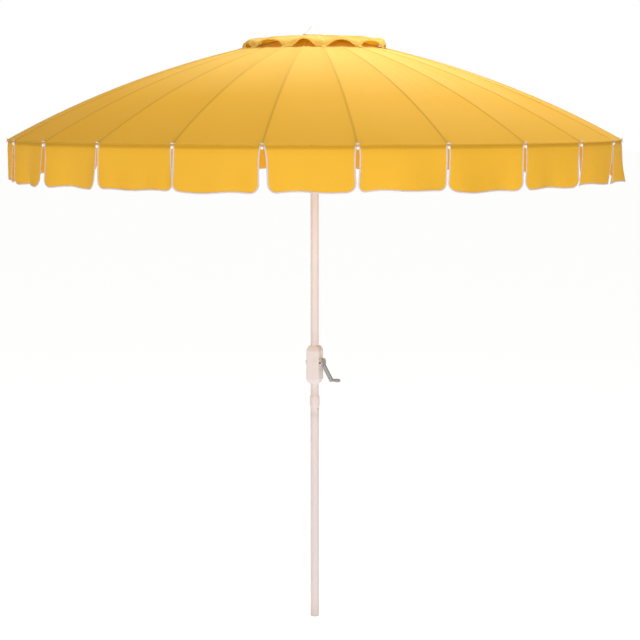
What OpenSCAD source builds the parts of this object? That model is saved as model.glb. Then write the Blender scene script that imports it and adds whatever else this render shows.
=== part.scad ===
// Crank-lift umbrella with twenty-four ribs, a vented top and a two-section pole.
// Units are millimetres. Z is up, the origin is the middle of the pole's foot, and the panel that
// faces -Y is centred. Everything is drawn open.

/* [Canopy] */
// Reach of the ribs, from the pole's axis to the canopy's corners
canopy_r = 1371.6; // [1200:1:1500]
// Radius of the curve that each rib is bent to, measured at the cloth
bow_r = 4080; // [3600:10:4600]
// Height of the cloth at the canopy's corners
rim_z = 2220.5; // [2100:1:2300]
// Thickness of the canopy cloth
cloth_t = 1.2; // [0.6:0.1:2]
// Height of the hanging flaps
valance_h = 178; // [120:1:220]
// Width of the slit between two flaps, at its top
slit_w = 17; // [14:1:36]
// Radius of the hole in the canopy under the vent cap
vent_hole_r = 120; // [100:5:200]
// Radius of the vent cap
cap_r = 325; // [280:5:380]

/* [Ribs and struts] */
// Radius of the circle of hinges on the crown and on the runner
hinge_r = 45; // [44:0.5:50]
// Distance from the crown hinge to the strut hinge, and between a strut's two hinges
link = 620; // [560:5:680]
// Angle below level of the line from the crown hinge to the strut hinge
link_drop = 15; // [14:0.5:18]
// Width of a rib's steel channel
rib_w = 7; // [6:0.1:7.5]
// Height of a rib's steel channel
rib_h = 10; // [8:0.5:12]
// Width of a strut
strut_w = 6; // [5:0.1:6.5]
// Height of a strut
strut_h = 9; // [8:0.5:10]
// Radius of the wire that the ribs and struts hinge on
wire_r = 1.5; // [1:0.1:1.8]

/* [Pole] */
// Outer radius of the upper pole
upper_r = 19; // [17:0.1:20]
// Outer radius of the lower pole
lower_r = 20.2; // [19.2:0.1:21]
// Wall of both tubes
pole_wall = 1.1; // [0.9:0.1:1.8]
// Height of the top of the collar where the two poles meet
collar_top = 1043; // [900:1:1150]
// Depth that the upper pole goes into the lower one
insert = 140; // [80:5:200]
// Radius of the collar
collar_r = 22.6; // [21.5:0.1:26]

/* [Crank] */
// Height of the crank's axle
axle_z = 1200; // [1150:1:1250]
// Angle that the crank's axle is turned towards the front from +X
crank_turn = 22; // [0:1:45]
// Height of the crank housing
housing_h = 175; // [150:1:200]
// Drop from the axle to the middle of the knob
crank_drop = 79; // [50:1:90]

/* [Hidden] */
$fn = 96;
ribs = 24;
step = 360 / ribs;
half = step / 2;

// Centre of the rib's bend in the upright plane through the pole's axis and the rib.
bow_x = -607;
bow_z = rim_z - sqrt(bow_r * bow_r - (canopy_r - bow_x) * (canopy_r - bow_x));
rib_r = bow_r - 8;
function bow_height(r, x) = bow_z + sqrt(r * r - (x - bow_x) * (x - bow_x));
function bow_angle(r, x) = asin((x - bow_x) / r);

// Hinge points in that plane: crown, strut and runner.
crown_z = bow_height(rib_r, hinge_r);
strut_x = hinge_r + link * cos(link_drop);
strut_z = crown_z - link * sin(link_drop);
runner_z = crown_z - 2 * link * sin(link_drop);

lower_top = collar_top - 6;
upper_foot = collar_top - insert;
pole_top = 2640;
button_z = 981.6;
button_turn = -40;

function numbered(word, i) = str(word, i < 10 ? "0" : "", i);
function rib_turn(i) = -90 + half + step * (i - 1);

// ---------------------------------------------------------------- shared shapes

// A bar with its length along x from a to b, its width along y and its height along z.
module bar(a, b, w, h) {
    translate([a, -w / 2, -h / 2]) cube([b - a, w, h]);
}

// A cylinder lying along y, centred on it.
module across(r, w) {
    rotate([90, 0, 0]) cylinder(r = r, h = w, center = true);
}

// A length of the bent rib line, from distance a to distance b from the pole's axis.
module bent(a, b) {
    s = bow_angle(rib_r, a);
    e = bow_angle(rib_r, b);
    translate([bow_x, 0, bow_z]) rotate([90, 0, 0]) rotate([0, 0, 90 - e])
        rotate_extrude(angle = e - s, $fn = 200) translate([rib_r, 0]) children();
}

// A closed skin of revolution-like columns. Each column is a list of [radius, height] points.
module skin(columns, turns, t) {
    n = len(columns);
    m = len(columns[0]);
    outer = [for (i = [0:n - 1]) for (p = columns[i])
        [p[0] * cos(turns[i]), p[0] * sin(turns[i]), p[1]]];
    inner = [for (i = [0:n - 1]) for (p = columns[i])
        [(p[0] - t * 0.3) * cos(turns[i]), (p[0] - t * 0.3) * sin(turns[i]), p[1] - t * 0.95]];
    k = n * m;
    function at(i, j) = (i % n) * m + j;
    faces = concat(
        [for (i = [0:n - 1]) for (j = [0:m - 2]) [at(i, j), at(i, j + 1), at(i + 1, j)]],
        [for (i = [0:n - 1]) for (j = [0:m - 2]) [at(i + 1, j), at(i, j + 1), at(i + 1, j + 1)]],
        [for (i = [0:n - 1]) for (j = [0:m - 2]) [k + at(i, j), k + at(i + 1, j), k + at(i, j + 1)]],
        [for (i = [0:n - 1]) for (j = [0:m - 2]) [k + at(i + 1, j), k + at(i + 1, j + 1), k + at(i, j + 1)]],
        [for (i = [0:n - 1]) [at(i, 0), at(i + 1, 0), k + at(i, 0)]],
        [for (i = [0:n - 1]) [at(i + 1, 0), k + at(i + 1, 0), k + at(i, 0)]],
        [for (i = [0:n - 1]) [at(i, m - 1), k + at(i, m - 1), at(i + 1, m - 1)]],
        [for (i = [0:n - 1]) [at(i + 1, m - 1), k + at(i, m - 1), k + at(i + 1, m - 1)]]
    );
    polyhedron(points = concat(outer, inner), faces = [for (f = faces) [f[2], f[1], f[0]]],
        convexity = 6);
}

// ---------------------------------------------------------------- pole

// Lower pole: a steel tube, the collar pressed round its mouth and the plug in its foot.
module lower_pole() {
    color("linen") {
        difference() {
            translate([0, 0, 4]) cylinder(r = lower_r, h = lower_top - 4);
            translate([0, 0, 3]) cylinder(r = lower_r - pole_wall, h = lower_top);
            rotate([0, 0, button_turn]) translate([10, 0, button_z])
                rotate([0, 90, 0]) cylinder(r = 4.4, h = 20, $fn = 48);
            for (z = [955.5, 960.5]) translate([0, 0, z]) rotate_extrude()
                translate([lower_r, 0]) circle(r = 0.45, $fn = 24);
        }
        difference() {
            rotate_extrude() polygon([
                [lower_r + 0.02, 991], [21.2, 991], [collar_r, 1001], [collar_r, 1031],
                [21, collar_top], [upper_r + 0.15, collar_top], [upper_r + 0.15, lower_top + 0.1],
                [lower_r + 0.02, lower_top + 0.1]
            ]);
        }
        rotate_extrude() polygon([
            [0, 0], [16.5, 0], [lower_r - 0.6, 1.6], [lower_r - 0.1, 3.9],
            [lower_r - pole_wall - 0.05, 3.9], [lower_r - pole_wall - 0.05, 30],
            [lower_r - 3.4, 30], [lower_r - 3.4, 6], [0, 6]
        ]);
    }
}

// Upper pole: a steel tube with cross holes for the axle, a slot for the cord, the button's leaf
// spring in its foot, and the lift cord that runs up inside it from the drum to the pulley.
module upper_pole() {
    color("linen") difference() {
        translate([0, 0, upper_foot]) cylinder(r = upper_r, h = pole_top - upper_foot);
        translate([0, 0, upper_foot - 1]) cylinder(r = upper_r - pole_wall, h = pole_top);
        rotate([0, 0, -crank_turn]) translate([0, 0, axle_z]) rotate([0, 90, 0])
            cylinder(r = 5.4, h = 60, center = true, $fn = 48);
        rotate([0, 0, button_turn]) translate([10, 0, button_z])
            rotate([0, 90, 0]) cylinder(r = 4.4, h = 20, $fn = 48);
        rotate([0, 0, -crank_turn]) translate([-3, -25, 2560]) cube([6, 15, 50]);
    }
    color("silver") rotate([0, 0, button_turn]) translate([0, 0, button_z]) {
        translate([10.9, -4, -46]) cube([0.8, 8, 54]);
        translate([-17.2, -4, -46.7]) cube([28.9, 8, 0.8]);
    }
    color("white") rotate([0, 0, -crank_turn]) translate([0, 12.6, axle_z])
        cylinder(r = 1.5, h = 2590 - axle_z, $fn = 24);
}

// Snap button: a domed pin that springs out through both tubes and holds the sections together.
module snap_button() {
    color("dimgray") rotate([0, 0, button_turn]) translate([0, 0, button_z]) rotate([0, 90, 0])
        rotate_extrude($fn = 48) polygon([
            [0, 15.6], [5.2, 15.6], [5.2, 17], [4, 17], [4, 21.4], [3.4, 22.5], [2.2, 23.2], [0, 23.5]
        ]);
}

// ---------------------------------------------------------------- crank

// Outline of the housing seen from above, with rounded corners, at a given inset.
module housing_outline(inset) {
    a = 31 - inset;
    b = 30 - inset;
    c = 5 - inset * 0.8;
    union() {
        square([2 * a, 2 * (b - c)], center = true);
        square([2 * (a - c), 2 * b], center = true);
        for (x = [-1, 1]) for (y = [-1, 1]) translate([x * (a - c), y * (b - c)])
            circle(r = c, $fn = 48);
    }
}

// Side view of the housing: straight sides that slope in, in two steps, towards both ends.
module housing_side(w, inset) {
    side = [[w - inset - 10.4, inset], [w - inset - 4.2, 11 + inset * 0.4], [w - inset, 23],
        [w - inset, housing_h - 23], [w - inset - 4.2, housing_h - 11 - inset * 0.4],
        [w - inset - 10.4, housing_h - inset]];
    polygon(concat(side, [for (k = [0:5]) [-side[5 - k][0], side[5 - k][1]]]));
}

// One solid block of the housing's outer form, at a given inset.
module housing_block(inset) {
    translate([0, 0, axle_z - 98]) intersection() {
        linear_extrude(housing_h) housing_outline(inset);
        rotate([90, 0, 0]) linear_extrude(90, center = true) housing_side(31, inset);
        rotate([90, 0, 90]) linear_extrude(90, center = true) housing_side(30, inset);
    }
}

// Crank housing: a rear and a front moulded shell that clamp round the pole, four screws that go
// in from the rear into posts, and a bearing bush on each side.
module crank_housing() {
    color("linen") rotate([0, 0, -crank_turn]) {
        for (side = [-1, 1]) difference() {
            union() {
                difference() {
                    housing_block(0);
                    housing_block(2.4);
                }
                for (x = [-1, 1]) for (z = [-46, 44]) translate([x * 24.8, 0, axle_z + z])
                    rotate([90, 0, 0]) cylinder(r = 4, h = 56, center = true, $fn = 48);
            }
            translate([0, 0, axle_z - 150]) cylinder(r = upper_r + 0.1, h = 300);
            translate([-50, side > 0 ? -50.15 : 0.15, axle_z - 150]) cube([100, 50, 300]);
            translate([0, 0, axle_z]) rotate([0, 90, 0])
                cylinder(r = 9.2, h = 80, center = true, $fn = 48);
            for (x = [-1, 1]) for (z = [-46, 44]) translate([x * 24.8, 40, axle_z + z])
                rotate([90, 0, 0]) cylinder(r = 1.9, h = 60, $fn = 24);
            if (side < 0) translate([20, -17, axle_z]) rotate([0, 90, 0])
                cylinder(r = 3.8, h = 20, $fn = 48);
        }
        for (x = [-1, 1]) for (z = [-46, 44]) translate([x * 24.8, 31.8, axle_z + z])
            rotate([90, 0, 0]) {
                cylinder(r = 3.6, h = 1.7, $fn = 48);
                translate([0, 0, 1.6]) cylinder(r = 1.85, h = 48, $fn = 24);
            }
        for (side = [-1, 1]) translate([0, 0, axle_z]) rotate([0, side * 90, 0]) difference() {
            union() {
                translate([0, 0, 27.5]) cylinder(r = 9.15, h = 3.7);
                if (side < 0) translate([0, 0, 31.1]) cylinder(r1 = 13, r2 = 11.6, h = 9.2);
                if (side > 0) translate([0, 0, 31.1]) cylinder(r = 19.4, h = 6);
            }
            translate([0, 0, 20]) cylinder(r = 5.06, h = 24);
        }
    }
}

// Crank spool: the axle that crosses the pole, with the cord drum on it, its end button and the
// plate that the arm is fixed to.
module crank_spool() {
    color("silver") rotate([0, 0, -crank_turn]) translate([0, 0, axle_z]) rotate([0, 90, 0])
        rotate_extrude($fn = 72) polygon([
            [0, -43], [7, -43], [8.8, -42.2], [8.8, -40.6], [5, -40.6], [5, -11.4], [12.4, -11.4],
            [12.4, -9.8], [10, -9.8], [10, 9.8], [12.4, 9.8], [12.4, 11.4], [5, 11.4], [5, 37.5],
            [18.6, 37.5], [18.6, 40.2], [17.8, 41], [0, 41]
        ]);
}

// Crank arm: a round head with a centre cap, a cast arm that slopes outwards with a groove down
// each face, and the pin that the knob turns on.
module crank_arm() {
    drop = crank_drop;
    color("gray") rotate([0, 0, -crank_turn]) translate([0, 0, axle_z]) {
        difference() {
            union() {
                translate([41.1, 0, 0]) rotate([0, 90, 0]) cylinder(r = 20.4, h = 6.9);
                translate([47, 0, 0]) rotate([0, 90, 0]) cylinder(r1 = 8.6, r2 = 7.2, h = 3.6);
                rotate([90, 0, 0]) linear_extrude(14, center = true) polygon([
                    [42, 6], [48, 6], [51, -6], [60, -drop + 55], [86, -drop + 9],
                    [88.2, -drop + 4], [88.4, -drop - 4], [86, -drop - 7], [76, -drop - 6.6],
                    [72.6, -drop + 2], [42, -drop + 55]
                ]);
            }
            for (m = [-1, 1]) translate([0, m * 7, 0]) rotate([90, 0, 0])
                linear_extrude(3.6, center = true) polygon([
                    [47.6, -drop + 54], [56, -drop + 54], [82.6, -drop + 7.4], [76.4, -drop + 3]
                ]);
        }
        translate([88, 0, -drop]) rotate([0, 90, 0]) cylinder(r = 3, h = 36.2, $fn = 48);
        translate([124.1, 0, -drop]) rotate([0, 90, 0]) cylinder(r = 4.4, h = 1.6, $fn = 48);
    }
}

// Crank knob: a moulded grip with finger grooves that spins on the arm's pin.
module crank_knob() {
    color("gainsboro") rotate([0, 0, -crank_turn]) translate([0, 0, axle_z - crank_drop])
        rotate([0, 90, 0]) rotate_extrude($fn = 72) polygon([
            [3.06, 89.2], [5.8, 89.2], [6.7, 90.4], [6.4, 93.4], [7, 98], [7.6, 103], [8.1, 108.5],
            [8.3, 114], [8.1, 119], [7.2, 122.2], [5.4, 123.6], [3.06, 123.8]
        ]);
}

// ---------------------------------------------------------------- top and runner

// One straight length of hinge wire for each rib or strut.
module hinge_wire(z, w) {
    for (i = [1:ribs]) rotate([0, 0, rib_turn(i)]) translate([hinge_r, 0, z]) across(wire_r, w);
}

// A slot for every rib or strut: open outwards and on one side.
module slots(w, x0, z0, z1) {
    for (i = [1:ribs]) rotate([0, 0, rib_turn(i)]) translate([x0, -w / 2, z0])
        cube([40, w, z1 - z0]);
}

// Crown hub: the slotted hub on top of the pole, its hinge wire, its cover, the pulley's wheel
// and pin, and the screw that holds the finial.
module crown_hub() {
    color("linen") difference() {
        union() {
            translate([0, 0, crown_z - 11]) cylinder(r = 51, h = 20);
            translate([0, 0, crown_z - 62]) cylinder(r = 25, h = 52);
        }
        translate([0, 0, crown_z - 63]) cylinder(r = upper_r + 0.1, h = pole_top + 63 - crown_z);
        translate([0, 0, crown_z - 63]) cylinder(r = 13.4, h = 60);
        slots(rib_w + 0.8, hinge_r - 6.2, crown_z - 12, crown_z + 6.6);
        hinge_holes(crown_z);
        translate([0, 0, crown_z]) cylinder(r = 3.1, h = 20, $fn = 24);
        rotate([0, 0, -crank_turn]) translate([-4, -19.05, crown_z - 70]) cube([8, 38.1, 40]);
    }
    color("silver") {
        hinge_wire(crown_z, 11);
        rotate([0, 0, -crank_turn]) translate([0, 0, 2590]) rotate([0, 90, 0]) {
            cylinder(r = 2, h = 35, center = true, $fn = 24);
        }
    }
    color("white") rotate([0, 0, -crank_turn]) translate([0, 0, 2590]) rotate([0, 90, 0])
        rotate_extrude($fn = 48) polygon([
            [2.05, -3.4], [12.8, -3.4], [12.8, -2.6], [10.9, -1.2], [10.9, 1.2], [12.8, 2.6],
            [12.8, 3.4], [2.05, 3.4]
        ]);
}

module hinge_holes(z) {
    for (i = [1:ribs]) rotate([0, 0, rib_turn(i)]) translate([hinge_r, 0, z])
        across(wire_r + 0.02, 11.2);
}

// Runner hub: the sliding ring on the pole that the struts' inner ends hinge on, and its wire.
module runner_hub() {
    color("linen") difference() {
        union() {
            translate([0, 0, runner_z - 9]) cylinder(r = 51, h = 20);
            translate([0, 0, runner_z - 70]) cylinder(r = 25.5, h = 62);
            translate([0, 0, runner_z - 70]) cylinder(r = 28.5, h = 6);
            translate([0, 0, runner_z + 11]) cylinder(r = 27, h = 8);
        }
        translate([0, 0, runner_z - 72]) cylinder(r = upper_r + 0.5, h = 100);
        slots(strut_w + 1, hinge_r - 6.4, runner_z - 6.6, runner_z + 12);
        hinge_holes(runner_z);
    }
    color("silver") hinge_wire(runner_z, 11);
}

// Finial: a low cone with a knob, screwed down on the vent cap.
module finial() {
    color("white") rotate_extrude() polygon([
        [0, crown_z + 9.4], [3, crown_z + 9.4], [3, crown_z + 13.4], [54, crown_z + 13.4],
        [54, crown_z + 15.4], [50, crown_z + 19.4], [44, crown_z + 24], [37, crown_z + 28.8],
        [30.5, crown_z + 34], [25.8, crown_z + 39.4], [22.4, crown_z + 45], [19.8, crown_z + 50],
        [17.6, crown_z + 52.6], [14.4, crown_z + 53.8], [0, crown_z + 54.4]
    ]);
}

// ---------------------------------------------------------------- ribs and struts

// Rib: a bent steel channel, the eye plug at the crown, the strut bracket with its rivet, and
// the tip that holds the canopy's corner.
module rib() {
    tilt0 = bow_angle(rib_r, hinge_r);
    tip_x = canopy_r - 10;
    tip_z = bow_height(rib_r, tip_x);
    tilt1 = bow_angle(rib_r, tip_x);
    color("silver") bent(hinge_r + 9, tip_x) polygon([
        [-rib_h / 2, -rib_w / 2], [rib_h / 2, -rib_w / 2], [rib_h / 2, rib_w / 2],
        [-rib_h / 2, rib_w / 2], [-rib_h / 2, rib_w / 2 - 1.2], [rib_h / 2 - 1.2, rib_w / 2 - 1.2],
        [rib_h / 2 - 1.2, -rib_w / 2 + 1.2], [-rib_h / 2, -rib_w / 2 + 1.2]
    ]);
    color("gray") difference() {
        translate([hinge_r, 0, crown_z]) {
            across(5.2, rib_w);
            rotate([0, tilt0, 0]) bar(0, 9.1, rib_w, 9);
            rotate([0, tilt0, 0]) bar(9, 24, rib_w - 2.5, 7);
        }
        translate([hinge_r, 0, crown_z]) across(wire_r + 0.05, 20);
    }
    color("silver") difference() {
        for (y = [-1, 1]) translate([strut_x, y * (rib_w / 2 + 0.65), strut_z]) {
            across(5.4, 1.2);
            rotate([0, bow_angle(rib_r, strut_x), 0]) translate([-6, -0.6, 0]) cube([12, 1.2, 20]);
        }
        translate([strut_x, 0, strut_z]) across(1.5, 20);
    }
    color("silver") translate([strut_x, 0, strut_z]) across(1.5, rib_w + 4);
    color("white") translate([tip_x, 0, tip_z]) rotate([0, tilt1, 0]) {
        bar(-18, 0, rib_w - 2.5, 6.6);
        translate([0, 0, 0]) rotate([0, 90, 0]) rotate_extrude($fn = 48)
            polygon([[0, 0.02], [3.4, 0.02], [3.4, 6], [5.6, 8], [6.2, 11], [5.2, 14.4], [2.8, 16.4], [0, 17]]);
    }
}

// Strut: a flat steel bar with an eye at each end.
module strut() {
    color("silver") difference() {
        translate([strut_x, 0, strut_z]) rotate([0, -link_drop, 0]) {
            bar(-link, 0, strut_w, strut_h - 1.4);
            across(5, strut_w);
            translate([-link, 0, 0]) across(5, strut_w);
        }
        translate([strut_x, 0, strut_z]) across(1.55, 20);
        translate([hinge_r, 0, runner_z]) across(wire_r + 0.3, 20);
    }
}

// ---------------------------------------------------------------- cloth

// Canopy: twenty-four flat panels drawn tight over the ribs, and a flap hung from each.
module canopy() {
    marks = [vent_hole_r, 240, 330, 430, 540, 650, 760, 870, 980, 1090, 1190, 1290, 1371.6];
    corner = [for (x = marks) [x, bow_height(bow_r, x)]];
    middle = [for (p = corner) [p[0] * cos(half), p[1]]];
    turns = [for (i = [0:ribs * 2 - 1]) -90 + half * i];
    color("gold") skin([for (i = [0:ribs * 2 - 1]) i % 2 == 0 ? middle : corner], turns, cloth_t);
    w = canopy_r * sin(half) - slit_w / 2;
    flap_side = [[0, 0], [3, 12], [7, 40], [9, 90], [11, valance_h - 30],
        [13.5, valance_h - 19], [20, valance_h - 9], [30, valance_h - 2.3], [41, valance_h]];
    color("gold") for (i = [0:ribs - 1]) rotate([0, 0, i * step])
        translate([0, -canopy_r * cos(half) + cloth_t, rim_z - 1.2]) rotate([90, 0, 0])
            linear_extrude(cloth_t) polygon([
                for (m = [-1, 1]) for (p = m < 0 ? flap_side : [for (k = [0:len(flap_side) - 1])
                    flap_side[len(flap_side) - 1 - k]]) [m * (w - p[0]), -p[1]]
            ]);
}

// Vent cap: a shallow twelve-panel cap whose hem is held at every second rib and is cut in an
// arch between them.
module vent_cap() {
    per = 8;
    cols = 12 * per;
    top_z = crown_z + 12.6;
    hem_z = bow_height(bow_r, cap_r) + 1.6;
    function lift(u) = u < 0.13 ? 0 : min(1, (u - 0.13) / 0.16);
    function share(i) = let (u = (i % per) / per) min(u, 1 - u) * 1.0;
    color("gold") skin(
        [for (i = [0:cols - 1]) let (c = cos(15) / cos(abs((i % per) - per / 2) * 30 / per)) [
            [14, top_z],
            [53, top_z - 0.4],
            [120 * c, top_z - 5 + (i % per == 0 ? 0.6 : 0)],
            [210 * c, top_z - 12],
            [cap_r * 0.955 * c, top_z - 22],
            [cap_r * 0.985 * c, top_z - 25],
            [cap_r * c, hem_z + (top_z - 27 - hem_z) * sqrt(lift(share(i)))]
        ]],
        [for (i = [0:cols - 1]) -90 + half + i * 30 / per], cloth_t);
}

// ---------------------------------------------------------------- assembly

lower_pole();
upper_pole();
snap_button();
crank_housing();
crank_spool();
crank_arm();
crank_knob();
crown_hub();
runner_hub();
canopy();
vent_cap();
finial();
for (i = [1:ribs]) {
    rotate([0, 0, rib_turn(i)]) rib();
    rotate([0, 0, rib_turn(i)]) strut();
}
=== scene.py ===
import math
import bmesh
import bpy
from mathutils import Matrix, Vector, noise


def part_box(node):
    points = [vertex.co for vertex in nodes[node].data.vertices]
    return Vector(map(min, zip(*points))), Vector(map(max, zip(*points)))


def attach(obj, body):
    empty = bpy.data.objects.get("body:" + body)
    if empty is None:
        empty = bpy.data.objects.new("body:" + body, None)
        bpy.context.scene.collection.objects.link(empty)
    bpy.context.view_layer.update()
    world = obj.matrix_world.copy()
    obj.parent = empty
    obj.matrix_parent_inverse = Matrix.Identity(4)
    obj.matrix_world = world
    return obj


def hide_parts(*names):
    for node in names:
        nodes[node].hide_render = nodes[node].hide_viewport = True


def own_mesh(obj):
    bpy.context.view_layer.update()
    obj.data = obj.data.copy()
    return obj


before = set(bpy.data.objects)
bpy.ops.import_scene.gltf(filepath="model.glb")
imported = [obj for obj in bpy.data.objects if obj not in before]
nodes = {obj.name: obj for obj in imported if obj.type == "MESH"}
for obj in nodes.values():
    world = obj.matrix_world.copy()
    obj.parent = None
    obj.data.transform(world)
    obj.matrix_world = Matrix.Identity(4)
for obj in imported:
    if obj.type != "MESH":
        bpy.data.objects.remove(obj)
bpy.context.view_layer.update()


# ---------------------------------------------------------------- canopy
# The canopy is twenty-four panels of woven yellow polyester, sewn edge to edge along the ribs.
# The frame draws it tight, so each panel is almost flat and only sags a little between its ribs.
# The cloth over each rib, from the middle of one panel to that of the next, is two pieces here.

RIBS = 24
TURN = math.radians(360 / RIBS)
FIRST = math.radians(-82.5)
REACH = 1.3716
RIM = 2.2205
BOW = 4.080
BOW_X = -0.607
BOW_Z = RIM - math.sqrt(BOW ** 2 - (REACH - BOW_X) ** 2)
VENT_HOLE = 0.120
CLOTH = 0.0006
PIECE_LONG = 1.335
THREADS = 3490.0
STITCH = 0.0042
# Height above which the cloth is painted paler, as painted sheen.
SHEEN_PAINTED_FROM = 2.40


def bow_height(x):
    """Height of the cloth over a rib, at distance x from the pole."""
    return BOW_Z + math.sqrt(BOW ** 2 - (x - BOW_X) ** 2)


def way(i):
    """Level direction of rib i, counted from 0."""
    a = FIRST + TURN * i
    return Vector((math.cos(a), math.sin(a), 0))


def over_rib(i, x):
    """Point on the cloth over rib i."""
    return way(i) * x + Vector((0, 0, bow_height(x)))


def across_rib(i):
    """Level direction square to rib i, towards the next one."""
    d = way(i)
    return Vector((-d.y, d.x, 0))


def grid_piece(name, runs, place, crease=None):
    """A mesh made of grids. Each run is (rows, columns); place(run, s, t) gives its points and
    its cloth coordinates in metres."""
    bm = bmesh.new()
    layer = bm.loops.layers.uv.new("cloth")
    for k, (rows, cols) in enumerate(runs):
        new = bmesh.ops.create_grid(bm, x_segments=rows, y_segments=cols, size=0.5)["verts"]
        spot = {v: (v.co.x + 0.5, v.co.y + 0.5) for v in new}
        made = {v: place(k, *spot[v]) for v in new}
        for f in {f for v in new for f in v.link_faces}:
            for loop in f.loops:
                loop[layer].uv = made[loop.vert][1]
            f.smooth = True
        for e in {e for v in new for e in v.link_edges}:
            along = crease is not None and all(abs(spot[v][1] - crease) < 1e-6 for v in e.verts)
            if along or e.is_boundary:
                e.smooth = False
        for v in new:
            v.co = made[v][0]
    return finish_mesh(name, bm)


def finish_mesh(name, bm):
    mesh = bpy.data.meshes.new(name)
    bm.to_mesh(mesh)
    bm.free()
    obj = bpy.data.objects.new(name, mesh)
    bpy.context.scene.collection.objects.link(obj)
    return obj


def thicken(obj, thickness, offset=-1.0):
    skin = obj.modifiers.new("thickness", "SOLIDIFY")
    skin.thickness = thickness
    skin.offset = offset
    skin.use_even_offset = False


class Shade:
    """A shader socket that can be used in ordinary arithmetic."""

    def __init__(self, tree, socket=None):
        self.tree, self.socket = tree, socket

    def node(self, kind, settings=None, sockets=None, out=0):
        made = self.tree.nodes.new(kind)
        for key, value in (settings or {}).items():
            setattr(made, key, value)
        for key, value in (sockets or {}).items():
            if isinstance(value, Shade):
                self.tree.links.new(value.socket, made.inputs[key])
            else:
                made.inputs[key].default_value = value
        return Shade(self.tree, made.outputs[out] if len(made.outputs) else None)

    def maths(self, operation, a, b=0.0, c=0.0):
        return self.node("ShaderNodeMath", {"operation": operation}, {0: a, 1: b, 2: c})

    def __add__(self, other):
        return self.maths("ADD", self, other)

    def __radd__(self, other):
        return self.maths("ADD", other, self)

    def __sub__(self, other):
        return self.maths("SUBTRACT", self, other)

    def __rsub__(self, other):
        return self.maths("SUBTRACT", other, self)

    def __mul__(self, other):
        return self.maths("MULTIPLY", self, other)

    def __rmul__(self, other):
        return self.maths("MULTIPLY", other, self)

    def __lt__(self, other):
        return self.maths("LESS_THAN", self, other)

    def __gt__(self, other):
        return self.maths("GREATER_THAN", self, other)

    def __mod__(self, other):
        return self.maths("FLOORED_MODULO", self, other)

    def sine(self):
        return self.maths("SINE", self)

    def absolute(self):
        return self.maths("ABSOLUTE", self)

    def top(self, other):
        return self.maths("MAXIMUM", self, other)

    def split(self):
        made = self.tree.nodes.new("ShaderNodeSeparateXYZ")
        self.tree.links.new(self.socket, made.inputs[0])
        return [Shade(self.tree, o) for o in made.outputs]

    def mix(self, a, b):
        """Colour a where this value is 0, colour b where it is 1."""
        made = self.tree.nodes.new("ShaderNodeMix")
        made.data_type = "RGBA"
        self.tree.links.new(self.socket, made.inputs["Factor"])
        for key, value in ((6, a), (7, b)):
            if isinstance(value, Shade):
                self.tree.links.new(value.socket, made.inputs[key])
            else:
                made.inputs[key].default_value = (*value, 1)
        return Shade(self.tree, made.outputs[2])

    def bump(self, height, strength=0.4):
        """The normal for this height, with height in metres at full relief."""
        return self.node("ShaderNodeBump", None,
                         {"Height": self, "Distance": height, "Strength": strength})


def material(name):
    """A new material, its node tree wrapped, and a function that ends it in a shader."""
    made = bpy.data.materials.new(name)
    made.use_nodes = True
    made.node_tree.nodes.clear()
    shade = Shade(made.node_tree)

    def close(shader):
        shade.node("ShaderNodeOutputMaterial", None, {"Surface": shader})
        return made

    return shade, close


def noise_of(shade, where, scale, detail):
    return shade.node("ShaderNodeTexNoise", None,
                      {"Vector": where, "Scale": scale, "Detail": detail})


def cloth_material(name, colour, deep, pale, through, glow, seam_at=None, hem_at=None,
                   shaded_band=None):
    """Plain-weave cloth that lets some light through. seam_at is how far, in metres, the rows of
    stitches lie from the middle of the cloth's width, hem_at a list of stitched hem lines, and band
    the depth of a strip at its upper edge that is painted darker, partly because the cloth lies double
    there and partly as painted shade under the overhanging hem."""
    shade, close = material(name)
    cloth = shade.node("ShaderNodeUVMap", {"uv_map": "cloth"})
    u, v, _ = cloth.split()
    place = shade.node("ShaderNodeTexCoord", None, None, out=3)
    # Warp and weft threads go over and under each other, one crossing every 0.9 mm.
    warp, weft = (u * THREADS).sine(), (v * THREADS).sine()
    weave = warp * weft
    threads = weave * 0.5 + 0.5
    patches = noise_of(shade, place, 2.6, 4.0)
    slubs = noise_of(shade, place, 120.0, 2.0)
    tone = (patches - 0.5) * 1.1 + (slubs - 0.5) * 0.35 + (threads - 0.5) * 0.16 + 0.5
    ground = tone.mix(deep, colour)
    # The cloth is painted paler towards the top of the canopy, as painted sheen of the overhead light.
    _, _, z = place.split()
    ground = ((z - SHEEN_PAINTED_FROM) * 3.4).top(0.0).mix(ground, (0.95, 0.68, 0.17))
    height = threads * 0.25 + (noise_of(shade, place, 14.0, 3.0) - 0.5) * 1.6
    # The strip at the top of the cloth is painted darker: partly for the cloth lying double there,
    # partly as painted shade under the hem.
    if shaded_band:
        doubled_and_shaded = 1.0 - ((u - shaded_band) * 130.0).top(0.0)
        ground = doubled_and_shaded.top(0.0).mix(ground, [c * 0.72 for c in deep])
    if seam_at:
        for d in (-seam_at, seam_at):
            near = 1.0 - (v - d).absolute() * 1400.0
            row = near.top(0.0) * ((u % STITCH) < 0.003)
            ground = row.mix(ground, pale)
            height = height + row * 0.9
    if hem_at:
        for d in hem_at:
            near = (1.0 - (u - d).absolute() * 1300.0).top(0.0)
            row = near * ((v % STITCH) < 0.003)
            ground = row.mix(ground, pale)
            height = height + row * 0.9
    rough = 0.82 - (patches - 0.5) * 0.14
    surface = shade.node("ShaderNodeBsdfPrincipled", None, {
        "Base Color": ground, "Roughness": rough, "Sheen Weight": 0.09,
        "Sheen Roughness": 0.40, "Sheen Tint": (1.0, 0.86, 0.48, 1), "IOR": 1.42,
        "Specular IOR Level": 0.20, "Normal": height.bump(0.0007, 0.5)})
    lit = shade.node("ShaderNodeBsdfTranslucent", None, {"Color": (*glow, 1)})
    return close(shade.node("ShaderNodeMixShader", None, {0: through, 1: surface, 2: lit}))


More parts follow.
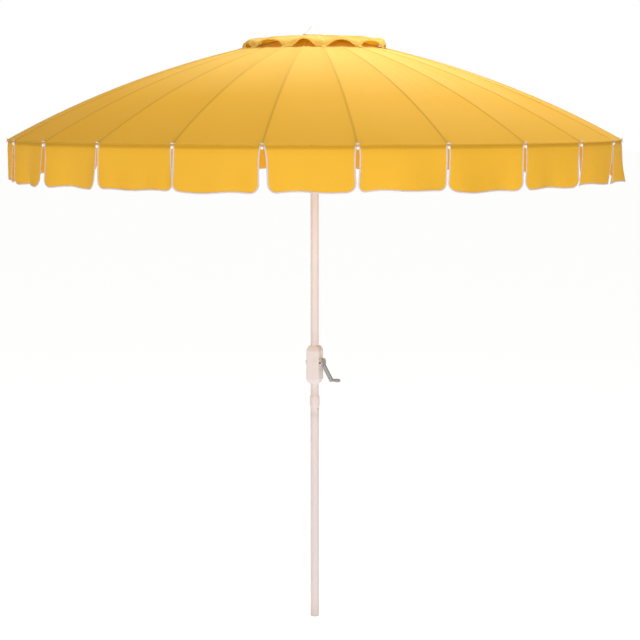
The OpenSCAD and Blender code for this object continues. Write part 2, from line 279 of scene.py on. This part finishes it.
YELLOW = (0.90, 0.545, 0.052)
YELLOW_DEEP = (0.85, 0.50, 0.038)
YELLOW_PALE = (0.95, 0.62, 0.095)
GLOW = (1.0, 0.60, 0.03)
canopy_cloth = cloth_material("canopy_cloth", YELLOW, YELLOW_DEEP, YELLOW_PALE, 0.22, GLOW,
                              hem_at=[1.326, 1.318])


def panel_sag(x, p):
    """How far the cloth sinks between two ribs, at share p of the way from one to the other."""
    s = (x - VENT_HOLE) / (REACH - VENT_HOLE)
    return 0.0055 * math.sin(math.pi * min(max(s, 0), 1)) ** 0.8 * (1 - (1 - 2 * p) ** 2)


def creases(k, x, p):
    """Small pulls in the cloth of panel k, which start at the two corners of its hem."""
    s = (x - VENT_HOLE) / (REACH - VENT_HOLE)
    edge = (1 - abs(1 - 2 * p)) * 2
    fan = noise.noise(Vector((k * 7.1, p * 9.0 - (1 - s) * 2.0, s * 3.0)))
    return 0.0016 * fan * min(1, edge) * (0.35 + 0.65 * s)


def panel_point(i, s, t):
    """A point of the cloth over rib i. t runs from the middle of one panel to that of the next."""
    x = VENT_HOLE + (REACH - VENT_HOLE) * s
    side = 1 if t >= 0.5 else -1
    p = abs(t - 0.5)
    k = i if side > 0 else i - 1
    share = p if side > 0 else 1 - p
    a = over_rib(i, x)
    b = over_rib(i + side, x)
    point = a.lerp(b, p)
    point.z -= panel_sag(x, share) + (creases(k % RIBS, x, share) if 0 < s < 1 else 0)
    return point, (PIECE_LONG * s, (t - 0.5) * 2 * x * math.sin(TURN / 2))


def gathers(obj, i, keep=0.3):
    """Gives the cloth over rib i its own mesh and hangs it on the rib, so that it moves with it."""
    mid = over_rib(i, 0.8)
    tuple(across_rib(i))
    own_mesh(obj)
    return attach(obj, f"rib_{i + 1:02d}")


# Each piece is made as an upper and a lower part, because a folded rib has moved in less near the top.
SPLIT = 0.4
UPPER_LONG = SPLIT * PIECE_LONG
LOWER_LONG = PIECE_LONG - UPPER_LONG

for i in range(RIBS):
    top = grid_piece(f"canopy_top_{i + 1:02d}", [(20, 16)],
                     lambda k, s, t, i=i: panel_point(i, SPLIT * s, t), crease=0.5)
    low = grid_piece(f"canopy_{i + 1:02d}", [(30, 16)],
                     lambda k, s, t, i=i: panel_point(i, SPLIT + (1 - SPLIT) * s, t), crease=0.5)
    for piece, keep, flat, area in ((top, 0.54, (0.162, UPPER_LONG), 0.0516),
                                    (low, 0.40, (0.358, LOWER_LONG), 0.2083)):
        thicken(piece, CLOTH)
        piece.data.materials.append(canopy_cloth)
        gathers(piece, i, keep)
        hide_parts("canopy")


# ---------------------------------------------------------------- seams over the ribs
# Each seam between two panels is felled flat over its rib and stitched down in two rows. It is
# the same cloth, doubled, so it stands a little proud and looks darker against the light.

seam_cloth = cloth_material("seam_cloth", (0.76, 0.42, 0.028), (0.68, 0.36, 0.020), (0.86, 0.52, 0.06),
                            0.12, GLOW, seam_at=0.0032)


def strip_over_rib(i, start, end, half, rise, edge):
    """A narrow strip over rib i, highest along its middle."""
    def place(k, s, t):
        x = start + (end - start) * s
        y = (t - 0.5) * 2 * half
        point = over_rib(i, x) + across_rib(i) * y
        point -= way(i) * abs(y) * math.tan(TURN / 2)
        point.z += rise - (rise - edge) * (abs(t - 0.5) * 2) ** 3
        return point, ((end - start) * s * 1.06, y)
    return place


for i in range(RIBS):
    piece = grid_piece(f"seam_{i + 1:02d}", [(44, 6)],
                       strip_over_rib(i, VENT_HOLE + 0.004, REACH - 0.001, 0.0048, 0.0010, 0.0004))
    thicken(piece, 0.0005)
    piece.data.materials.append(seam_cloth)
    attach(piece, f"rib_{i + 1:02d}")


# ---------------------------------------------------------------- valance
# A flap of the same cloth hangs from the hem of each panel, with a slit at every rib and rounded
# lower corners. Each piece here is the two half flaps beside one rib, so that they go with it.

FLAP = 0.178
CORNER = 0.034
TUCK = 0.0042
HALF_SIDE = REACH * math.sin(TURN / 2)
# The flaps' top strip is painted darker, partly as painted shade under the canopy's hem.
flap_cloth = cloth_material("flap_cloth", YELLOW, YELLOW_DEEP, YELLOW_PALE, 0.22, GLOW,
                            hem_at=[0.0105], shaded_band=0.0115)


def rnd(*key):
    """A fixed number from -1 to 1 for each key."""
    return noise.cell(Vector((key[0] * 3.17 + 0.5, (key[1] if len(key) > 1 else 0) * 5.3 + 0.5,
                              (key[2] if len(key) > 2 else 0) * 2.9 + 0.5))) * 2 - 1


def slit(i, side, v):
    """Half the width of the slit at rib i, on one side, at depth v below the hem."""
    k = i % RIBS
    spread = 0.0120 + 0.0055 * rnd(k, 0, 1) + 0.0012 * rnd(k, side, 1)
    return (0.0064 + spread * (1 - math.exp(-v / 0.030))
            + (0.0010 + 0.0030 * rnd(k, side, 2)) * (v / FLAP) ** 2)


def flap_depth(s):
    """Depth below the hem of row s, with the rows drawn together round the corner."""
    if s <= 0.8:
        return (FLAP - CORNER) * s / 0.8
    return FLAP - CORNER + CORNER * math.sin((s - 0.8) / 0.2 * math.pi / 2)


def flap_edge(i, side, s):
    """Distance from rib i to the flap's edge at row s."""
    v = flap_depth(s)
    round_off = 0.0
    if v > FLAP - CORNER:
        round_off = CORNER - math.sqrt(max(CORNER ** 2 - (v - FLAP + CORNER) ** 2, 0))
    return slit(i, side, v) + round_off


def flap_swing(k, along, v):
    """How far flap k stands out from the straight drop, at a point along it."""
    k %= RIBS
    w = v / FLAP
    p = along / (2 * HALF_SIDE)
    out = 0.0085 * rnd(k, 5) * math.sin(math.pi * p) * w ** 1.3
    out += 0.0075 * rnd(k, 6) * math.sin(2 * math.pi * p + 1.5 * rnd(k, 7)) * w ** 1.5
    out += 0.0035 * math.sin(5.0 * math.pi * p + 3 * rnd(k, 8)) * w ** 2
    out += 0.0090 * rnd(k, 9) * math.exp(-p / 0.10) * w
    out += 0.0090 * rnd(k, 10) * math.exp(-(1 - p) / 0.10) * w
    out += 0.004 * w - TUCK * math.exp(-(v / 0.020) ** 2)
    return out


def flap_point(i, side, y, v):
    """A point of the flap on one side of rib i: y from the rib, v below the hem."""
    tip, other = way(i) * REACH, way(i + side) * REACH
    along = (other - tip).normalized()
    out = (tip + other).normalized()
    k = i if side > 0 else i - 1
    span = y if side > 0 else 2 * HALF_SIDE - y
    droop = 0.0035 * rnd(k % RIBS, 11) * math.sin(math.pi * span / (2 * HALF_SIDE))
    droop += 0.0030 * math.sin(3 * math.pi * span / (2 * HALF_SIDE) + 2 * rnd(k % RIBS, 12))
    point = tip + along * y + out * flap_swing(k, span, v)
    point.z = RIM + 0.0012 - v * (1 + (droop + 0.0012) / FLAP)
    return point, out


def valance_place(i):
    def place(k, s, t):
        side = -1 if k == 0 else 1
        share = 1 - t if side < 0 else t
        start = flap_edge(i, side, s)
        y = start + (HALF_SIDE - start) * share
        v = flap_depth(s)
        return flap_point(i, side, y, v)[0], (v, side * y)
    return place


for i in range(RIBS):
    piece = grid_piece(f"valance_{i + 1:02d}", [(26, 18), (26, 18)], valance_place(i))
    thicken(piece, CLOTH)
    piece.data.materials.append(flap_cloth)
    gathers(piece, i)


# ---------------------------------------------------------------- white binding
# White tape is folded over the cut edge of each flap, up one side of the slit, round the rib's
# tip and down the other side, and is stitched through near its inner edge.

shade, close = material("white_binding")
u, v, _ = shade.node("ShaderNodeUVMap", {"uv_map": "cloth"}).split()
place = shade.node("ShaderNodeTexCoord", None, None, out=3)
ribbing = (u * 5200.0).sine() * 0.5 + 0.5
grime = noise_of(shade, place, 9.0, 4.0)
stitch = (1.0 - (v.absolute() - 0.0026).absolute() * 1900.0).top(0.0) * ((u % STITCH) < 0.0029)
tape = grime.mix((0.62, 0.50, 0.46), (0.69, 0.58, 0.54))
tape = stitch.mix(tape, (0.77, 0.68, 0.64))
relief = ribbing * 0.35 + stitch * 1.0
white_binding = close(shade.node("ShaderNodeBsdfPrincipled", None, {
    "Base Color": tape, "Roughness": 0.72 + grime * 0.1, "Sheen Weight": 0.2,
    "Specular IOR Level": 0.3, "Normal": relief.bump(0.0005, 0.5)}))


def sweep(bm, layer, path, outs, half_wide, half_thick, sides=8):
    """A flat tape along a path. Its width lies square to the path and to the outward way."""
    n = len(path)
    ring = bmesh.ops.create_circle(bm, cap_ends=False, radius=1.0, segments=sides)["verts"]
    spots = [(v.co.x, v.co.y) for v in ring]
    edges = list({e for v in ring for e in v.link_edges})
    rings, faces, length, lengths = [ring], [], 0.0, [0.0]
    for j in range(1, n):
        made = bmesh.ops.extrude_edge_only(bm, edges=edges)["geom"]
        new = [g for g in made if isinstance(g, bmesh.types.BMVert)]
        edges = [g for g in made if isinstance(g, bmesh.types.BMEdge)
                 and all(v in new for v in g.verts)]
        faces += [g for g in made if isinstance(g, bmesh.types.BMFace)]
        last = rings[-1]
        follow = []
        for v in last:
            for e in v.link_edges:
                w = e.other_vert(v)
                if w in new:
                    follow.append(w)
                    break
        rings.append(follow)
        length += (path[j] - path[j - 1]).length
        lengths.append(length)
    for j, (ring, out) in enumerate(zip(rings, outs)):
        ahead = (path[min(j + 1, n - 1)] - path[max(j - 1, 0)]).normalized()
        wide = out.cross(ahead).normalized()
        up = ahead.cross(wide)
        for v, (a, b) in zip(ring, spots):
            v.co = path[j] + wide * a * half_wide + up * b * half_thick
    where = {v: (lengths[j], a * half_wide) for j, ring in enumerate(rings)
             for v, (a, b) in zip(ring, spots)}
    for ring in (rings[0], rings[-1]):
        faces += bmesh.ops.contextual_create(bm, geom=ring)["faces"]
    for f in faces:
        f.smooth = True
        for loop in f.loops:
            loop[layer].uv = where[loop.vert]
    bmesh.ops.recalc_face_normals(bm, faces=faces)


def tape_piece(name, path, outs, half_wide, half_thick):
    bm = bmesh.new()
    layer = bm.loops.layers.uv.new("cloth")
    sweep(bm, layer, path, outs, half_wide, half_thick)
    return finish_mesh(name, bm)


def binding_path(i):
    path, outs = [], []

    def add(side, y, v):
        point, out = flap_point(i, side, y, v)
        path.append(point)
        outs.append(out)

    def half(side):
        found = []
        start = flap_edge(i, side, 1.0)
        for j in range(14):
            found.append((HALF_SIDE + (start - HALF_SIDE) * j / 14, FLAP))
        for j in range(27):
            s = 1 - j / 26
            found.append((flap_edge(i, side, s), flap_depth(s)))
        return found

    for y, v in half(-1):
        add(-1, y, v)
    top = slit(i, 1, 0)
    for j in range(1, 8):
        a = math.pi * (1 - j / 8)
        y = top * math.cos(a)
        point = way(i) * (REACH - TUCK + (TUCK + 0.0022) * math.sin(a)) + across_rib(i) * y
        point.z = RIM + 0.0014 + 0.0046 * math.sin(a)
        point -= way(i) * abs(y) * math.tan(TURN / 2)
        path.append(point)
        outs.append(way(i))
    for y, v in reversed(half(1)):
        add(1, y, v)
    return path, outs


for i in range(RIBS):
    path, outs = binding_path(i)
    piece = tape_piece(f"binding_{i + 1:02d}", path, outs, 0.0034, 0.0012)
    piece.data.materials.append(white_binding)
    gathers(piece, i)


# ---------------------------------------------------------------- rolled hem
# The canopy's lower edge is turned under and sewn to the top of the flaps, which leaves a soft
# roll of cloth along the rim.

for i in range(RIBS):
    path, outs = [], []
    for j in range(-12, 13):
        side = 1 if j >= 0 else -1
        p = abs(j) / 24
        point = over_rib(i, REACH).lerp(over_rib(i + side, REACH), p)
        point.z -= 0.0006
        path.append(point)
        outs.append((way(i) + way(i + side)).normalized() if j else way(i))
    piece = tape_piece(f"hem_{i + 1:02d}", path, outs, 0.0019, 0.0016)
    piece.data.materials.append(seam_cloth)
    gathers(piece, i, 0.40)


# ---------------------------------------------------------------- rib pockets
# Under each corner a doubled patch of cloth forms the pocket that the rib's end slips into.

pocket_cloth = cloth_material("pocket_cloth", (0.82, 0.48, 0.036), (0.75, 0.43, 0.028),
                              YELLOW_PALE, 0.12, GLOW, seam_at=0.0135)


def pocket_place(i):
    def place(k, s, t):
        x = 1.316 + 0.044 * s
        a = math.pi * t
        y = -0.0165 * math.cos(a)
        point = over_rib(i, x) + across_rib(i) * y
        point.z -= 0.0012 + 0.0154 * math.sin(a) ** 1.2
        return point, (0.044 * s, (t - 0.5) * 0.046)
    return place


for i in range(RIBS):
    piece = grid_piece(f"pocket_{i + 1:02d}", [(8, 20)], pocket_place(i))
    piece.data.flip_normals()
    thicken(piece, 0.0008, 1.0)
    piece.data.materials.append(pocket_cloth)
    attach(piece, f"rib_{i + 1:02d}")


# ---------------------------------------------------------------- vent cap
# A separate cap of twelve panels covers the hole at the top. It is held under the finial, and
# its legs are tacked to the canopy at every second rib, so wind escapes through the arches
# between them. Each piece here is the cloth round one leg.

CAP = 0.325
CAP_IN = 0.050
CAP_KEEP = 0.52
cap_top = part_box("vent_cap")[1].z
hem_low = bow_height(CAP) + 0.0022
# The cap's cloth is painted paler than the canopy's, as painted sheen of the overhead light.
cap_cloth = cloth_material("cap_cloth", (0.96, 0.70, 0.17), YELLOW_PALE, YELLOW_PALE, 0.40,
                           (1.0, 0.76, 0.11), hem_at=[0.283, 0.279])


def cap_height(r, q=0.0):
    """Height of the cap, which rides higher in the middle of an arch (q = 1) than over a leg."""
    drop = 0.0315 - 0.0125 * math.sin(math.pi * q / 2) ** 2
    return cap_top - 0.0012 - drop * ((r - CAP_IN) / 0.262) ** 1.25


SKEWS = (-0.2, 0.9, -0.3, 0.6, -0.7, 0.3, 0.8, -0.5, 0.4, -0.8, 0.5, -0.9)


def cap_hem(k, q):
    """Height of the cap's hem at share q of the way from a leg to the middle of the arch. Each
    arch k is pulled a little to one side."""
    u = abs(q) / 2 if q > 0 else 1 - abs(q) / 2
    u += 0.13 * SKEWS[k // 2] * math.sin(2 * math.pi * u)
    u = min(u, 1 - u)
    lift = min(max((u - 0.065) / 0.26, 0), 1)
    toward = way(k + 1)
    slump = 0.015 * max(0, abs(toward.x) - 0.45) / 0.55 + 0.012 * max(0, toward.y)
    crest = cap_height(0.312, min(2 * u, 1)) - 0.0035 + 0.002 * rnd(k, 21) - slump
    return hem_low + (crest - hem_low) * math.sin(lift * math.pi / 2) ** 0.8


def cap_point(i, s, t):
    side = 1 if t >= 0.5 else -1
    q = abs(t - 0.5) * 2
    k = (i if side > 0 else i - 2) % RIBS
    turn = FIRST + TURN * (i + side * q)
    c = math.cos(TURN) / math.cos(TURN * (1 - q))
    flare = 0.008 * q * q
    across = q * side

    loose = 0.007 + 0.010 * max(0, way(k + 1).x)

    def ruck(r):
        return loose * noise.noise(Vector((r * 9, k * 3.3, across * 2.6))) * q * (2 - q)

    if s <= 0.84:
        r = CAP_IN + (0.312 - CAP_IN) * s / 0.84
        z = cap_height(r, q) + 0.0030 * math.sin(math.pi * s / 0.84) * q + ruck(r) * s
    else:
        w = (s - 0.84) / 0.16
        r = 0.312 + (CAP + flare - 0.312) * math.sin(w * math.pi / 2)
        z0 = cap_height(0.312, q) + ruck(0.312) * 0.84
        fall = (1 - math.cos(w * math.pi / 2)) ** 0.8
        z = z0 + (cap_hem(k, across) - z0) * fall
        r += 0.006 * noise.noise(Vector((k * 2.1, across * 3.5, 4.0))) * w * q
    point = Vector((math.cos(turn) * r * c, math.sin(turn) * r * c, z))
    return point, (0.30 * s, (t - 0.5) * 2 * r * math.sin(TURN))


for i in range(0, RIBS, 2):
    piece = grid_piece(f"cap_{i + 1:02d}", [(30, 24)],
                       lambda k, s, t, i=i: cap_point(i, s, t), crease=0.5)
    thicken(piece, CLOTH)
    piece.data.materials.append(cap_cloth)
    gathers(piece, i, CAP_KEEP)
    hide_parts("vent_cap")

    path, outs = [], []
    for j in range(49):
        t = j / 48
        point, _ = cap_point(i, 1.0, t)
        path.append(point)
        outs.append(Vector((point.x, point.y, 0)).normalized())
    edge = tape_piece(f"cap_hem_{i + 1:02d}", path, outs, 0.0026, 0.0009)
    edge.data.materials.append(seam_cloth)
    gathers(edge, i, CAP_KEEP)

    def seam_on_cap(k, s, t, i=i):
        point, _ = cap_point(i, 0.04 + 0.94 * s, 0.5)
        y = (t - 0.5) * 0.0116
        point = point + across_rib(i) * y - way(i) * abs(y) * math.tan(TURN)
        point += way(i) * (0.0009 if s > 0.88 else 0.0)
        point.z += 0.0010 - 0.0007 * (abs(t - 0.5) * 2) ** 3
        return point, (0.28 * s, y)

    tape = grid_piece(f"cap_seam_{i + 1:02d}", [(30, 6)], seam_on_cap)
    thicken(tape, 0.0005)
    tape.data.materials.append(seam_cloth)
    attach(tape, f"rib_{i + 1:02d}")

    def tab_place(k, s, t, i=i):
        x = CAP - 0.012 + 0.034 * s
        y = (t - 0.5) * 0.020
        point = over_rib(i, x) + across_rib(i) * y - way(i) * abs(y) * math.tan(TURN / 2)
        point.z += 0.0019 + 0.0022 * math.sin(math.pi * min(s * 1.5, 1)) * 0.4
        return point, (0.034 * s, y)

    tab = grid_piece(f"cap_tab_{i + 1:02d}", [(10, 8)], tab_place)
    thicken(tab, 0.0009, 1.0)
    tab.data.materials.append(seam_cloth)
    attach(tab, f"rib_{i + 1:02d}")


# ---------------------------------------------------------------- pole
# Two steel tubes, powder coated in a warm white. The lower one has a grey plug in its foot and a
# moulded collar round its mouth, where the upper one goes in.

def dress(node, made):
    """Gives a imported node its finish."""
    for held in nodes[node].material_slots:
        held.material = made


def powder_coat(name, bands):
    """Sprayed and baked coating: fine orange peel, faint lengthwise scuffs and darker marks in bands,
    each a height and a spread in metres."""
    shade, close = material(name)
    place = shade.node("ShaderNodeTexCoord", None, None, out=3)
    _, _, z = place.split()
    long = shade.node("ShaderNodeMapping", None, {"Vector": place, "Scale": (1, 1, 0.03)})
    peel = noise_of(shade, place, 620.0, 2.0)
    scuff = noise_of(shade, long, 240.0, 3.0)
    cloud = noise_of(shade, place, 11.0, 4.0)
    marks = (scuff - 0.60).top(0.0) * 3.0
    for at, spread in bands:
        marks = marks + (1.0 - (z - at).absolute() * (1 / spread)).top(0.0) * cloud * 0.9
    return shade, close, z, peel, cloud, marks.mix(COAT, COAT_DARK)


COAT = (0.715, 0.642, 0.640)
COAT_DARK = (0.60, 0.50, 0.46)


def pole_material(name, bands, plug_below=None, moulded=None):
    shade, close, z, peel, cloud, ground = powder_coat(name, bands)
    rough = cloud * 0.16 + peel * 0.08 + 0.24
    if plug_below is not None:
        plug = z < plug_below
        ground = plug.mix(ground, (0.33, 0.31, 0.30))
        rough = rough + plug * 0.3
    if moulded is not None:
        part = (z > moulded[0]) * (z < moulded[1])
        ground = part.mix(ground, (0.730, 0.644, 0.628))
        rough = rough + part * 0.10
    return close(shade.node("ShaderNodeBsdfPrincipled", None, {
        "Base Color": ground, "Roughness": rough, "Coat Weight": 0.25, "Coat Roughness": 0.2,
        "IOR": 1.5, "Normal": (peel * 1.0 + cloud * 1.5).bump(0.00012, 0.6)}))


# The lowest of these marks darkens the coat towards the foot of the pole.
dress("lower_pole", pole_material("lower_pole_coat", [(0.02, 0.07), (0.955, 0.025)], 0.0039,
                                  (0.991, 1.0431)))
dress("upper_pole", pole_material("upper_pole_coat", [(1.05, 0.03), (1.3, 0.05)]))


# ---------------------------------------------------------------- snap button
# A turned steel pin, nickel plated, with a dome that fingers have polished.

shade, close = material("plated_button")
place = shade.node("ShaderNodeTexCoord", None, None, out=3)
fine = noise_of(shade, place, 1500.0, 2.0)
soft = noise_of(shade, place, 260.0, 3.0)
dress("snap_button", close(shade.node("ShaderNodeBsdfPrincipled", None, {
    "Base Color": soft.mix((0.34, 0.33, 0.32), (0.52, 0.51, 0.50)), "Metallic": 1.0,
    "Roughness": soft * 0.25 + 0.18, "Normal": fine.bump(0.00004, 0.5)})))


# ---------------------------------------------------------------- crank housing
# Two shells moulded in white nylon clamp round the pole. Four screws hold them, and a bearing
# bush sits on each side where the axle comes out.

CRANK_TURN = math.radians(22)
AXLE = 1.200


def crank_place(shade):
    """Coordinates with the axle along X and its middle at the origin."""
    place = shade.node("ShaderNodeTexCoord", None, None, out=3)
    return shade.node("ShaderNodeMapping", None, {
        "Vector": place, "Rotation": (0, 0, CRANK_TURN), "Location": (0, 0, -AXLE)})


def within(a, b, radius):
    """1 inside a circle of this radius round the origin of a and b."""
    return (a * a + b * b) < radius * radius


shade, close = material("moulded_housing")
local = crank_place(shade)
x, y, z = local.split()
grain = noise_of(shade, local, 900.0, 2.0)
cloud = noise_of(shade, local, 22.0, 4.0)
joint = (1.0 - y.absolute() * 1600.0).top(0.0)
screw = within(x.absolute() - 0.0248, (z + 0.001).absolute() - 0.045, 0.0038) * (y > 0.0298)
bush = x.absolute() > 0.03108
# A near-black disc is painted on the shell beside the axle: painted shade standing in for a dark
# opening.
painted_hole_shade = within(y + 0.017, z, 0.0046) * (x > 0.02)
hand = (cloud - 0.52).top(0.0) * 2.2
ground = hand.mix((0.75, 0.668, 0.652), (0.65, 0.56, 0.53))
ground = joint.mix(ground, (0.30, 0.26, 0.24))
ground = screw.mix(ground, (0.55, 0.54, 0.53))
ground = bush.mix(ground, (0.70, 0.62, 0.60))
ground = painted_hole_shade.mix(ground, (0.03, 0.025, 0.025))
dress("crank_housing", close(shade.node("ShaderNodeBsdfPrincipled", None, {
    "Base Color": ground, "Metallic": screw, "Roughness": grain * 0.12 + cloud * 0.1 + 0.32,
    "Subsurface Weight": 0.04, "IOR": 1.5,
    "Normal": (grain * 0.5 - joint * 3.0).bump(0.00018, 0.6)})))


# ---------------------------------------------------------------- crank
# The axle's end plate and the arm are cast zinc. The knob is a moulded grip, grey, with a fine
# spark-eroded skin, and turns on a riveted pin.

def cast_zinc(name, dark, light, metal, turned=False):
    shade, close = material(name)
    local = crank_place(shade)
    x, y, z = local.split()
    if turned:
        along = shade.maths("SQRT", y * y + z * z) * 9000.0
        lines = along.sine() * 0.5 + 0.5
    else:
        lines = noise_of(shade, local, 1300.0, 2.0)
    cloud = noise_of(shade, local, 60.0, 4.0)
    worn = (cloud - 0.5).top(0.0) * 2.0
    return close(shade.node("ShaderNodeBsdfPrincipled", None, {
        "Base Color": worn.mix(light, dark), "Metallic": metal - worn * 0.2,
        "Roughness": cloud * 0.22 + lines * 0.08 + 0.34,
        "Normal": (lines * 0.6 + cloud * 0.6).bump(0.00008, 0.5)}))


dress("crank_spool", cast_zinc("turned_plate", (0.50, 0.46, 0.44), (0.64, 0.60, 0.58), 0.5, True))
dress("crank_arm", cast_zinc("cast_arm", (0.24, 0.24, 0.245), (0.37, 0.375, 0.38), 0.45))

shade, close = material("grey_knob")
local = crank_place(shade)
x, y, z = local.split()
grain = noise_of(shade, local, 1400.0, 2.0)
cloud = noise_of(shade, local, 70.0, 4.0)
parting = (1.0 - (y * 2600.0).absolute()).top(0.0)
polish = (cloud - 0.5).top(0.0) * 1.6
dress("crank_knob", close(shade.node("ShaderNodeBsdfPrincipled", None, {
    "Base Color": polish.mix((0.30, 0.305, 0.31), (0.22, 0.22, 0.225)),
    "Roughness": grain * 0.15 - polish * 0.12 + 0.42,
    "Normal": (grain * 0.5 + parting * 1.5).bump(0.00012, 0.6)})))


# ---------------------------------------------------------------- hubs and finial
# The crown hub and the runner are moulded in white nylon, with a length of steel wire through
# each slot as the hinge. The finial is a glossy turned-looking moulding that screws on top.

def nylon(name, hinge_z):
    shade, close = material(name)
    place = shade.node("ShaderNodeTexCoord", None, None, out=3)
    x, y, z = place.split()
    grain = noise_of(shade, place, 700.0, 2.0)
    cloud = noise_of(shade, place, 30.0, 4.0)
    reach = shade.maths("SQRT", x * x + y * y)
    wire = within(reach - 0.045, z - hinge_z, 0.0016)
    dust = (cloud - 0.48).top(0.0) * 1.8
    ground = dust.mix((0.80, 0.74, 0.70), (0.62, 0.55, 0.50))
    return close(shade.node("ShaderNodeBsdfPrincipled", None, {
        "Base Color": wire.mix(ground, (0.6, 0.6, 0.6)), "Metallic": wire,
        "Roughness": grain * 0.12 + cloud * 0.15 + 0.34, "Subsurface Weight": 0.03,
        "Normal": (grain * 0.6 + cloud).bump(0.00015, 0.5)}))


crown_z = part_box("crown_hub")[1].z - 0.009
dress("crown_hub", nylon("crown_nylon", crown_z))
dress("runner_hub", nylon("runner_nylon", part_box("runner_hub")[1].z - 0.019))

shade, close = material("finial_gloss")
place = shade.node("ShaderNodeTexCoord", None, None, out=3)
x, y, z = place.split()
cloud = noise_of(shade, place, 45.0, 4.0)
fine = noise_of(shade, place, 520.0, 2.0)
sink = (z * 4200.0).sine() * 0.5 + 0.5
dust = (cloud - 0.5).top(0.0) * 1.2
dress("finial", close(shade.node("ShaderNodeBsdfPrincipled", None, {
    "Base Color": dust.mix((0.90, 0.88, 0.86), (0.76, 0.71, 0.66)),
    "Roughness": cloud * 0.14 + fine * 0.06 + 0.14, "Coat Weight": 0.3, "Coat Roughness": 0.1,
    "Normal": (sink * 0.12 + fine * 0.3 + cloud).bump(0.00016, 0.5)})))


# ---------------------------------------------------------------- ribs and struts
# Each rib is a roll-formed steel channel with a white knob pressed into its outer end, a grey
# nylon eye at the hub and a riveted bracket for its strut. The struts are bars of the same steel.

def rib_material(name, tips):
    shade, close = material(name)
    place = shade.node("ShaderNodeTexCoord", None, None, out=3)
    x, y, z = place.split()
    reach = shade.maths("SQRT", x * x + y * y)
    peel = noise_of(shade, place, 520.0, 2.0)
    cloud = noise_of(shade, place, 16.0, 4.0)
    chips = (noise_of(shade, place, 130.0, 3.0) - 0.66).top(0.0) * 8.0
    marks = (cloud - 0.5).top(0.0) * 1.2 + chips
    ground = marks.mix((0.74, 0.69, 0.655), (0.46, 0.42, 0.40))
    rough = cloud * 0.2 + peel * 0.08 + 0.30
    if tips:
        tip, eye = reach > 1.3614, reach < 0.0691
        ground = tip.mix(ground, (0.88, 0.86, 0.84))
        ground = eye.mix(ground, (0.30, 0.30, 0.31))
        rough = rough - tip * 0.12
    return close(shade.node("ShaderNodeBsdfPrincipled", None, {
        "Base Color": ground, "Roughness": rough, "Coat Weight": 0.15,
        "Normal": (peel * 0.8 + cloud).bump(0.00014, 0.5)}))


rib_coat = rib_material("rib_coat", True)
strut_coat = rib_material("strut_coat", False)
for i in range(RIBS):
    dress(f"rib_{i + 1:02d}", rib_coat)
    dress(f"strut_{i + 1:02d}", strut_coat)


# ---------------------------------------------------------------- floor, light and camera
# A pale matt floor runs out to a white surround. Soft boxes stand at the front left, the front
# right, behind and overhead.

scene = bpy.context.scene
bm = bmesh.new()
bmesh.ops.create_grid(bm, x_segments=8, y_segments=8, size=60.0)
bmesh.ops.translate(bm, verts=bm.verts, vec=(0, 30, -0.0005))
floor = finish_mesh("floor", bm)
shade, close = material("pale_floor")
place = shade.node("ShaderNodeTexCoord", None, None, out=3)
cloud = noise_of(shade, place, 1.5, 4.0)
floor.data.materials.append(close(shade.node("ShaderNodeBsdfPrincipled", None, {
    "Base Color": cloud.mix((0.56, 0.56, 0.56), (0.54, 0.54, 0.54)), "Roughness": 0.9,
    "Specular IOR Level": 0.1, "Emission Color": (1, 1, 1, 1), "Emission Strength": 0.81})))

world = bpy.data.worlds.new("surround")
world.use_nodes = True
world.node_tree.nodes.clear()
air = Shade(world.node_tree)
lit = air.node("ShaderNodeBackground", None, {"Color": (1.0, 0.985, 0.96, 1), "Strength": 0.31})
seen = air.node("ShaderNodeBackground", None, {"Color": (1, 1, 1, 1), "Strength": 1.0})
direct = air.node("ShaderNodeLightPath")
air.node("ShaderNodeOutputWorld", None, {
    "Surface": air.node("ShaderNodeMixShader", None, {0: direct, 1: lit, 2: seen})})
scene.world = world


def soft_box(name, at, aim, size, power, colour=(1, 1, 1)):
    data = bpy.data.lights.new(name, "AREA")
    data.shape = "SQUARE"
    data.size, data.energy, data.color = size, power, colour
    lamp = bpy.data.objects.new(name, data)
    lamp.location = at
    lamp.rotation_euler = (Vector(aim) - Vector(at)).to_track_quat("-Z", "Y").to_euler()
    lamp.visible_camera = False
    scene.collection.objects.link(lamp)


soft_box("front_left", (-3.6, -8.0, 2.6), (0, 0, 2.0), 2.6, 190, (1.0, 0.99, 0.98))
soft_box("front_right", (4.6, -6.8, 2.2), (0, 0, 2.0), 2.2, 137, (1.0, 0.99, 0.97))
soft_box("behind", (1.2, 3.4, 4.5), (0.1, 0, 2.6), 1.8, 78)
soft_box("overhead", (0.5, 0.0, 4.4), (0.1, 0, 2.6), 1.6, 52)

scene.view_settings.view_transform = "Standard"
scene.view_settings.look = "None"

# The camera stands a little to the right of the front panel, between the canopy's rim and top.
lens = bpy.data.cameras.new("camera")
lens.sensor_width = 36.0
lens.lens = 95.46
camera = bpy.data.objects.new("camera", lens)
camera.location = (0.1011, -7.7253, 2.352)
toward = math.atan2(-camera.location.x, -camera.location.y) + math.radians(0.18)
camera.rotation_euler = (math.radians(90 - 7.06), 0, -toward)
scene.collection.objects.link(camera)
scene.camera = camera
